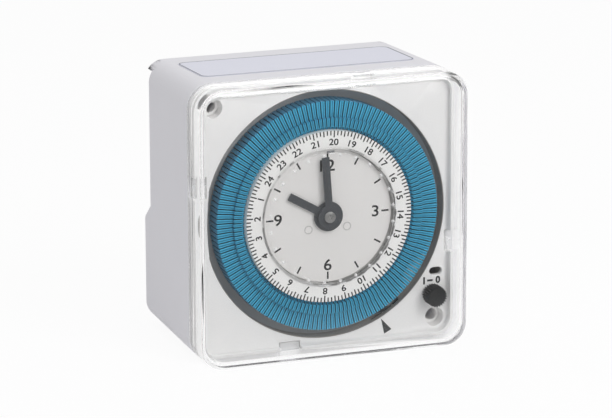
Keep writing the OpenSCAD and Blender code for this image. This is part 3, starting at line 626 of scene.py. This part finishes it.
class TIME_SWITCH_OT_plate(bpy.types.Operator):
    """Build the face plate with its marks, the pointer and the well"""

    bl_idname = "time_switch.plate"
    bl_label = "Face plate"

    def execute(self, context):
        look = context.scene.time_switch_plate
        white = moulded("Plate plastic", look.plastic, grain=look.grain / MM, depth=0.04, roughness=0.5,
                        speck=0.09)
        rounded_copy("face_plate", "plate", "body", [white], look.edge)
        grey = moulded("Well plastic", look.well, grain=0.4, depth=0.004, roughness=0.38)
        # The wall round the well takes a darker grey than the floor: painted shade.
        wall = moulded("Well wall painted shade", look.well_wall, grain=0.4, depth=0.004, roughness=0.38)

        def side(at):
            return 1 if from_dial(at)[0] > WELL_WALL_RADIUS else 0

        rounded_copy("dial_well", "well", "body", [grey, wall], 0.1 * MM, choose=side)
        dark = printed("Pointer ink", look.pointer)
        rounded_copy("pointer_mark", "pointer", "body", [dark], 0.03 * MM)
        bm = bmesh.new()
        height = look.mark_height / MM
        letters(bm, "I", height, (27.1, -20.2), 90, PLATE_FRONT, bold=0.05)
        letters(bm, "0", height, (30.95, -20.2), 90, PLATE_FRONT, bold=0.045)
        ink_slab(bm, rectangle((27.95, -20.47), (29.5, -19.97)), PLATE_FRONT)
        make_piece("position_marks", bm, [printed("Mark ink", look.ink)], "body")
        return {"FINISHED"}


class TIME_SWITCH_OT_dial(bpy.types.Operator):
    """Build the ring of hours and its 144 switching segments"""

    bl_idname = "time_switch.dial"
    bl_label = "Dial"

    def execute(self, context):
        look = context.scene.time_switch_dial
        white = moulded("Ring plastic", look.ring, grain=0.3, depth=0.004, roughness=0.42)
        carrier_shade = moulded("Carrier painted shade", look.carrier, grain=0.4, depth=0.004, roughness=0.5)
        # Painted shade for the wall of the ring's bore.
        shade = moulded("Ring bore painted shade", linear("#DADAD8"), grain=0.3, depth=0.004, roughness=0.5)

        # The ring's part under the segments is coloured dark navy as painted shade, and its bore a little
        # darker as painted shade.
        def band(at):
            r, depth = from_dial(at)
            if r < BORE_RADIUS and BORE_DEPTHS[0] < depth < BORE_DEPTHS[1]:
                return 2
            return 1 if r > CARRIER_RADIUS or depth > CARRIER_FRONT else 0

        rounded_copy("dial_ring", "hour_ring", "dial", [white, carrier_shade, shade], 0.08 * MM,
                     choose=band)
        self.number_ring(look)
        blue = [moulded("Segment plastic", look.segment, grain=0.5, depth=0.003, roughness=0.36, cloud=0.05),
                moulded("Segment sides painted shade", look.flank, grain=0.5, depth=0.003, roughness=0.45),
                moulded("Segment ends painted light", look.ends, grain=0.5, depth=0.003, roughness=0.4),
                moulded("Segment grooves painted shade", look.groove, grain=0.5, depth=0.003, roughness=0.4)]
        fixed = bmesh.new()
        for i in range(SEGMENTS):
            if not FIRST_LOOSE <= i < FIRST_LOOSE + len(LOOSE):
                self.segment(fixed, i, look)
        piece = make_piece("fixed_segments", fixed, blue, "dial")
        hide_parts("segments")
        for k, node in enumerate(LOOSE):
            bm = bmesh.new()
            self.segment(bm, FIRST_LOOSE + k, look)
            piece = make_piece(node + "_slide", bm, blue, node)
            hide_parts(node)
        return {"FINISHED"}

    def number_ring(self, look):
        bm = bmesh.new()
        for n in range(1, 25):
            angle = DIAL_PHASE + HOUR_STEP * n
            a = math.radians(angle)
            middle = NUMBER_RADIUS * math.cos(a), NUMBER_RADIUS * math.sin(a)
            letters(bm, str(n), look.number_height / MM, middle, angle, RING_FRONT, bold=0.02, wide=1.12)
        for k in range(SEGMENTS):
            inner = next(r for every, r in RING_TICK_RADII.items() if k % every == 0)
            stroke(bm, inner, RING_TICK_END, DIAL_PHASE + SEGMENT_STEP * k, RING_TICK_WIDTH,
                   RING_FRONT)
        make_piece("hour_print", bm, [printed("Ring ink", look.ink)], "dial")

    def segment(self, bm, i, look):
        """One segment: three steps with a groove along the middle, and a foot that runs in the carrier. Its
        sides, its step and its groove are coloured darker as painted shade, and its outer end lighter as
        painted light.
        """
        a = math.radians(DIAL_PHASE + (i + 0.5) * SEGMENT_STEP)
        out, side = Vector((math.cos(a), math.sin(a))), Vector((-math.sin(a), math.cos(a)))
        bevel, groove, depth = look.bevel / MM, look.groove_width / MM / 2, look.groove_depth / MM
        stations = ([(r, front, SEGMENT_BACK) for r, front in SEGMENT_PLATE]
                    + [(r, front, FOOT_BACK) for r, front in SEGMENT_FOOT])
        start, first_face = len(bm.verts), len(bm.faces)
        sections = []
        for r, front, back in stations:
            w = r * math.tan(math.radians(SEGMENT_STEP / 2)) - SEGMENT_GAP / 2
            outline = [(-w, back), (-w, front + bevel), (-w + bevel, front), (-groove, front),
                       (-groove * 0.8, front + depth), (groove * 0.8, front + depth), (groove, front),
                       (w - bevel, front), (w, front + bevel), (w, back)]
            sections.append([place(*(out * r + side * s), d) for s, d in outline])
        loft(bm, sections)
        bm.verts.ensure_lookup_table()
        bm.faces.ensure_lookup_table()
        along, outward = Vector((side.x, 0, side.y)), Vector((out.x, 0, out.y))
        for face in bm.faces[first_face:]:
            face.normal_update()
            middle = face.calc_center_median() / MM - Vector((0, 0, DIAL_UP))
            r, across = middle.dot(outward), middle.dot(along)
            upright = abs(face.normal.dot(outward)) > 0.6
            on_step = SEGMENT_STEP_RADII[0] < r < SEGMENT_STEP_RADII[1] and upright
            in_groove = face.normal.y > 0.9 and abs(across) < groove
            # Outer ends: a blue of their own as painted light.
            if r > SEGMENT_END_RADIUS and upright:
                face.material_index = LIT_END
            # Sides: a deep blue as painted shade.
            elif abs(face.normal.dot(along)) > 0.9:
                face.material_index = SHADED_SIDE
            # Step and groove: a darker blue as painted shade.
            elif on_step or in_groove:
                face.material_index = GROOVE_SHADE
        bmesh.ops.remove_doubles(bm, verts=bm.verts[start:], dist=1e-7)


class TIME_SWITCH_OT_clock(bpy.types.Operator):
    """Build the clock face, its hands and the window over them"""

    bl_idname = "time_switch.clock"
    bl_label = "Clock"

    def execute(self, context):
        look = context.scene.time_switch_clock
        face = moulded("Face plastic", look.face, grain=0.25, depth=0.002, roughness=0.45, cloud=0.012)
        rounded_copy("clock_face", "face_disc", "body", [face], 0.06 * MM)
        self.face_print(look)
        dark = moulded("Hand lacquer", look.hands, grain=0.3, depth=0.003, roughness=0.42)
        rounded_copy("hour_hand", "hour_pointer", "hour", [dark], 0.07 * MM)
        rounded_copy("minute_hand", "minute_pointer", "minute", [dark], 0.07 * MM)
        steel = metal("Screw steel", linear("#D4D4D3"), 0.45)
        self.centre_screw(steel)
        bm = bmesh.new()
        turned(bm, [(1.98, 5.27), (2.02, 5.2), (2.2, 5.2), (2.24, 5.27)])
        make_piece("hub_ring", bm, [dark], "minute")
        pane = thin_pane("Window plastic", look.window)
        frosted = see_through("Window pips", look.window, haze_depth=0.6, through=0.5)

        def pip(at):
            r, depth = from_dial(at)
            angle = math.degrees(math.atan2(at.z - DIAL_UP, at.x))
            off = (angle - HOUR_STEP / 2) % HOUR_STEP
            near = math.radians(min(off, HOUR_STEP - off)) * r
            return 1 if math.hypot(near, r - PIP_RADIUS) < PIP_REACH and depth < PIP_BACK else 0

        rounded_copy("centre_window", "window", "dial", [pane, frosted], 0.06 * MM, choose=pip)
        return {"FINISHED"}

    def centre_screw(self, steel):
        """The screw that holds the hands, with a cross recess in its rounded head. The recess is coloured
        brighter than the head as a painted highlight.
        """
        points = 96
        turn = math.radians(20)

        def ring(d, radius):
            angles = [math.tau * k / points for k in range(points)]
            return [place(radius(k) * math.cos(a), radius(k) * math.sin(a), d) for k, a in enumerate(angles)]

        def circle(r):
            return lambda k: r

        def cross(length, width):
            def radius(k):
                c, s = (abs(f(math.tau * k / points - turn)) + 1e-9 for f in (math.cos, math.sin))
                return max(min(length / c, width / s), min(length / s, width / c))
            return radius

        bm = bmesh.new()
        loft(bm, [ring(5.25, circle(1.46)), ring(4.98, circle(1.46)), ring(4.84, circle(1.38)),
                  ring(4.75, circle(1.16)), ring(4.75, cross(0.86, 0.26)), ring(4.8, cross(0.82, 0.22)),
                  ring(5.15, cross(0.5, 0.12))])
        # The recess's faces take the brighter steel: a painted highlight.
        for face in bm.faces:
            depth = face.calc_center_median().y / MM - COVER_FRONT
            face.material_index = 1 if depth > 4.9 and len(face.verts) > 4 else 0
        bright = metal("Recess painted highlight", linear("#F4F4F2"), 0.5)
        piece = make_piece("centre_screw", bm, [steel, bright], "minute", sharp=25)
        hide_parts("hand_screw")

    def face_print(self, look):
        bm = bmesh.new()
        height = look.numeral_height / MM
        for text, u, v in (("1", -1.75, 13.1), ("2", 0.85, 13.1), ("3", 12.95, 0.1), ("6", 0, -12.85),
                           ("9", -13.4, 0)):
            letters(bm, text, height, (u, v), 90, FACE_FRONT, bold=0.014, wide=1.15)
        for k in range(12):
            stroke(bm, *FACE_TICK_RADII, 30 * k, FACE_TICK_WIDTH, FACE_FRONT)
        # A grey patch beside the tick at 12: a painted shadow.
        ink_slab(bm, rectangle((-0.1, 16.3), (1.9, 16.85)), FACE_FRONT, material=1)
        make_piece("face_print", bm, [printed("Face ink", look.ink), printed("Face painted shadow", linear("#85888B"))],
                   "body")
        bm = bmesh.new()
        for centre in ((-5.2, -3.25), (5.25, -3.2)):
            turned(bm, [(0.82, 6.93), (0.9, 6.84), (1.08, 6.84), (1.16, 6.93)], centre, steps=48)
        # The ejector rings are coloured darker than the face as painted shade on their relief.
        ejector_shade = printed("Ejector rings painted shade", toned(look.face, 0.55))
        make_piece("ejector_rings", bm, [ejector_shade], "body")


class TIME_SWITCH_OT_cover(bpy.types.Operator):
    """Build the clear cover"""

    bl_idname = "time_switch.cover"
    bl_label = "Cover"

    def execute(self, context):
        look = context.scene.time_switch_cover
        clear = see_through("Cover plastic", look.clear)
        half, corner, wall, rim = 36.0, 6.3, 1.2, 10.9
        edge, inner_edge = look.front_edge / MM, 0.9
        sections = []
        for k in range(9):
            a = math.radians(90 * k / 8)
            inset = edge * (1 - math.sin(a))
            sections.append(rounded_square(half - inset, corner - inset, edge * (1 - math.cos(a))))
        grip_groove = [(0, 0), (0.14, 0.1), (0.14, 0.3), (0, 0.4)]
        for d in (7.2, 9.1):
            sections += [rounded_square(half - inset, corner - inset, d + on) for inset, on in grip_groove]
        rim_edge = [(0, 0.2), (0.06, 0.06), (0.2, 0), (wall - 0.15, 0), (wall, 0.15)]
        sections += [rounded_square(half - inset, corner - inset, rim - short) for inset, short in rim_edge]
        for k in range(7):
            a = math.radians(90 - 90 * k / 6)
            inset = wall + inner_edge * (1 - math.sin(a))
            depth = wall + inner_edge * (1 - math.cos(a))
            sections.append(rounded_square(half - inset, corner - inset, depth))
        bm = bmesh.new()
        loft(bm, sections)
        for face in bm.faces:
            face.material_index = 2 if len(face.verts) > 4 else 0
        frosted = see_through("Tongue plastic", look.clear, haze_depth=0.5, through=0.5)
        pane = thin_pane("Cover front", look.clear)
        piece = make_piece("cover", bm, [clear, frosted, pane], "cover", sharp=50)
        self.add_tongues(piece)
        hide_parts("clear_cover")
        return {"FINISHED"}

    def add_tongues(self, piece):
        """Joins a snap tongue to the shell's inside on each of its four sides."""
        profile = [(8.5, 35.0), (8.5, 33.0), (8.7, 32.8), (13.2, 32.8), (13.4, 33.0), (13.4, 33.5),
                   (13.2, 33.7), (10.0, 33.7), (10.0, 35.0)]
        sides = (7.3, 12.5)
        bm = bmesh.new()
        for turn in range(4):
            quarter = Matrix.Rotation(math.radians(90 * turn), 2)
            ends = [[place(*(quarter @ Vector((u, v))), d) for d, v in profile] for u in sides]
            loft(bm, ends, material=1)
        bmesh.ops.recalc_face_normals(bm, faces=bm.faces)
        mesh = bpy.data.meshes.new("tongues")
        bm.to_mesh(mesh)
        bm.free()
        tool = bpy.data.objects.new("tongues", mesh)
        bpy.context.collection.objects.link(tool)
        join = piece.modifiers.new("Tongues", "BOOLEAN")
        join.operation, join.solver, join.object = "UNION", "EXACT", tool
        settle(piece, 50)
        bpy.data.objects.remove(tool)
        bpy.data.meshes.remove(mesh)


class TIME_SWITCH_OT_knob(bpy.types.Operator):
    """Build the ribbed override knob"""

    bl_idname = "time_switch.knob"
    bl_label = "Override knob"

    def execute(self, context):
        look = context.scene.time_switch_cover
        dark = moulded("Knob plastic", look.knob, grain=0.25, depth=0.01, roughness=0.5)
        outer = look.knob_radius / MM
        centre = Vector(KNOB_CENTRE)
        angles = [math.tau * k / (KNOB_RIBS * 8) for k in range(KNOB_RIBS * 8)]

        def ring(radius, d):
            return [place(centre.x + radius(a) * math.cos(a), centre.y + radius(a) * math.sin(a), d)
                    for a in angles]

        def circle(r, d):
            return ring(lambda a: r, d)

        def ribbed(share, d):
            def radius(a):
                wave = 0.5 + 0.5 * math.cos(KNOB_RIBS * a)
                return share * (outer - RIB_DEPTH * (1 - wave ** 0.8))
            return ring(radius, d)

        bm = bmesh.new()
        loft(bm, [circle(outer - 1.0, 4.24), circle(outer - 0.85, 4.2), ribbed(0.96, 4.2),
                  ribbed(0.99, 4.26), ribbed(1, 4.4), ribbed(1, 7.9), ribbed(0.97, 8.1),
                  circle(1.2, 8.1), circle(1.2, 16.9), circle(1.1, 17)])
        piece = make_piece("knob", bm, [dark], "knob", sharp=40)
        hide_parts("override_knob")
        return {"FINISHED"}


class TIME_SWITCH_OT_movement(bpy.types.Operator):
    """Finish the movement, the switch and the terminals inside the housing"""

    bl_idname = "time_switch.movement"
    bl_label = "Movement"

    def execute(self, context):
        nylon = moulded("White nylon", linear("#E6E4DC"), grain=0.5, depth=0.003, roughness=0.35)
        dark = moulded("Dark plastic", linear("#303234"), grain=0.3, depth=0.004, roughness=0.4)
        steel = metal("Drawn steel", linear("#B9BABB"), 0.3)
        brass = metal("Turned brass", linear("#C9A35A"), 0.27, stretch=(1, 1, 1))
        copper = metal("Rolled copper", linear("#C4785A"), 0.32)
        finish_nodes(["idler_arbor", "drive_pinion", "override_cam", "board_standoffs"], nylon)
        finish_nodes(["switch_body", "sensing_lever"], dark)
        finish_nodes(["front_movement_plate", "back_movement_plate", "plate_pillars", "movement_screws",
                      "gear_motor", "terminal_screws", "lever_pin", "knob_detent", "rail_clip_spring",
                      "quartz_crystal"], steel)
        # The screws deep in the plate's holes are coloured dark as painted shade in those holes.
        finish_nodes(["well_screws"], metal("Well screws painted shade", linear("#5C5E60"), 0.45))
        finish_nodes(["clamp_cages", "minute_arbor", "hour_wheel", "minute_wheel", "transfer_wheel",
                      "transfer_arbor", "idler_wheel"], brass)
        finish_nodes(["contact_strips", "switch_contacts"], copper)
        finish_nodes(["circuit_board"], circuit_green("Circuit board", linear("#1F5A34")))
        finish_nodes(["reserve_battery"], moulded("Battery sleeve", linear("#3E7A46"), roughness=0.3))
        finish_nodes(["mains_capacitor"], moulded("Capacitor case", linear("#C9A43A"), roughness=0.35))
        finish_nodes(["board_resistors"], moulded("Resistor lacquer", linear("#C8AE88"), roughness=0.4))
        finish_nodes(["switch_plunger"], moulded("Plunger plastic", linear("#A8322A"), roughness=0.35))
        return {"FINISHED"}


class TIME_SWITCH_OT_stage(bpy.types.Operator):
    """Set the floor, the lamps and the camera"""

    bl_idname = "time_switch.stage"
    bl_label = "Stage"

    def execute(self, context):
        look = context.scene.time_switch_stage
        context.scene.view_settings.view_transform = "Standard"
        self.surroundings(context, look)
        self.lay_floor(look)
        self.lamp("key_lamp", (0.35, -0.75, 0.62), 0.5, look.key)
        self.lamp("top_lamp", (-0.1, -0.1, 0.95), 0.6, look.key * 0.45)
        self.camera(context)
        return {"FINISHED"}

    def seen_directly(self, s):
        """1 or 0 three times: seen in any direct way, seen in a mirror, seen by the camera itself."""
        path = s.node("ShaderNodeLightPath", output="Is Camera Ray").socket.node
        ray = {name: Link(s, path.outputs[name]) for name in
               ("Is Camera Ray", "Is Glossy Ray", "Is Transmission Ray", "Diffuse Depth")}
        rays = ray["Is Camera Ray"] + ray["Is Glossy Ray"] + ray["Is Transmission Ray"]
        looked = s.maths("MINIMUM", rays, 1.0)
        return looked * (ray["Diffuse Depth"] < 0.5), ray["Is Glossy Ray"], ray["Is Camera Ray"]

    def surroundings(self, context, look):
        world = context.scene.world or bpy.data.worlds.new("Studio")
        context.scene.world = world
        world.use_nodes = True
        s = Shader(world.node_tree)
        seen, glossy, direct = self.seen_directly(s)
        way = s.node("ShaderNodeTexCoord", output="Generated")
        y, x = s.along(way, "Y"), s.along(way, "X")
        front = s.fade(y, -0.9, -0.25, 0.8, 0.0)
        side = s.fade(x, 0.4, 0.65, 0.0, 0.8)
        bright = 1 - (glossy * front + side) * (1 - direct)
        strength = seen * bright + (1 - seen) * look.fill
        back = s.node("ShaderNodeBackground", None, {"Color": (1, 1, 1, 1), "Strength": strength})
        s.node("ShaderNodeOutputWorld", None, {"Surface": back})

    def lay_floor(self, look):
        material, s = new_material("Floor")
        seen, glossy = self.seen_directly(s)[:2]
        fine = s.noise(40, detail=2)
        where = s.node("ShaderNodeTexCoord", output="Object")
        away = s.fade(s.along(where, "Y"), -0.07, -0.028, 1.0, 0.0)
        paper = s.node("ShaderNodeBsdfPrincipled", None, {
            "Base Color": s.blend(fine, toned(look.floor, 0.99), look.floor), "Roughness": 0.8,
            "Specular IOR Level": 0.1})
        grey = s.node("ShaderNodeEmission", None, {"Color": (0.25, 0.25, 0.25, 1), "Strength": 1.0})
        white = s.node("ShaderNodeEmission", None, {"Color": (1, 1, 1, 1), "Strength": 1.0})
        glow = s.node("ShaderNodeMixShader", None, {0: glossy * away, 1: white, 2: grey})
        surface = s.node("ShaderNodeMixShader", None, {0: seen * 0.93, 1: paper, 2: glow})
        s.cover_with(surface)
        bm = bmesh.new()
        corners = rectangle((-FLOOR_HALF, -FLOOR_HALF), (FLOOR_HALF, FLOOR_HALF))
        bm.faces.new([bm.verts.new((x, y, 0)) for x, y in corners])
        mesh = bpy.data.meshes.new("floor")
        bm.to_mesh(mesh)
        bm.free()
        mesh.materials.append(material)
        floor = bpy.data.objects.new("floor", mesh)
        bpy.context.collection.objects.link(floor)

    def lamp(self, name, where, size, power):
        data = bpy.data.lights.new(name, "AREA")
        data.shape, data.size, data.energy = "DISK", size, power
        lamp = bpy.data.objects.new(name, data)
        bpy.context.collection.objects.link(lamp)
        lamp.location = where
        lamp.rotation_euler = (Vector(LAMP_TARGET) - Vector(where)).to_track_quat("-Z", "Y").to_euler()

    def camera(self, context):
        eye, target = Vector(CAMERA_EYE), Vector(CAMERA_TARGET)
        forward = (target - eye).normalized()
        right = forward.cross(Vector((0, 0, 1))).normalized()
        up = right.cross(forward)
        roll = math.radians(CAMERA_ROLL)
        right, up = (math.cos(roll) * right + math.sin(roll) * up,
                     math.cos(roll) * up - math.sin(roll) * right)
        data = bpy.data.cameras.new("camera")
        data.sensor_width, data.lens = CAMERA_SENSOR, CAMERA_LENS
        camera = bpy.data.objects.new("camera", data)
        bpy.context.collection.objects.link(camera)
        matrix = Matrix((right, up, -forward)).transposed().to_4x4()
        matrix.translation = eye
        camera.matrix_world = matrix
        context.scene.camera = camera


# ---- panel and registration ----

OPERATORS = (TIME_SWITCH_OT_stage, TIME_SWITCH_OT_housing, TIME_SWITCH_OT_plate, TIME_SWITCH_OT_dial,
             TIME_SWITCH_OT_clock, TIME_SWITCH_OT_cover, TIME_SWITCH_OT_knob, TIME_SWITCH_OT_movement)
CHOICES = {
    "time_switch_housing": HousingChoices, "time_switch_plate": PlateChoices,
    "time_switch_dial": DialChoices, "time_switch_clock": ClockChoices,
    "time_switch_cover": CoverChoices, "time_switch_stage": StageChoices}


class TIME_SWITCH_PT_panel(bpy.types.Panel):
    """Lists the steps and their choices"""

    bl_idname = "TIME_SWITCH_PT_panel"
    bl_label = "Time Switch"
    bl_space_type = "VIEW_3D"
    bl_region_type = "UI"
    bl_category = "Time Switch"

    def draw(self, context):
        for name, group in CHOICES.items():
            box = self.layout.box()
            box.label(text=group.__doc__)
            for key in group.__annotations__:
                box.prop(getattr(context.scene, name), key)
        for operator in OPERATORS:
            self.layout.operator(operator.bl_idname)


def register():
    for cls in (*CHOICES.values(), *OPERATORS, TIME_SWITCH_PT_panel):
        bpy.utils.register_class(cls)
    for name, group in CHOICES.items():
        setattr(bpy.types.Scene, name, bpy.props.PointerProperty(type=group))


def unregister():
    for name in CHOICES:
        delattr(bpy.types.Scene, name)
    for cls in reversed((*CHOICES.values(), *OPERATORS, TIME_SWITCH_PT_panel)):
        bpy.utils.unregister_class(cls)


def main():
    register()
    for operator in OPERATORS:
        getattr(bpy.ops.time_switch, operator.bl_idname.split(".")[1])()


if __name__ == "__main__":
    main()
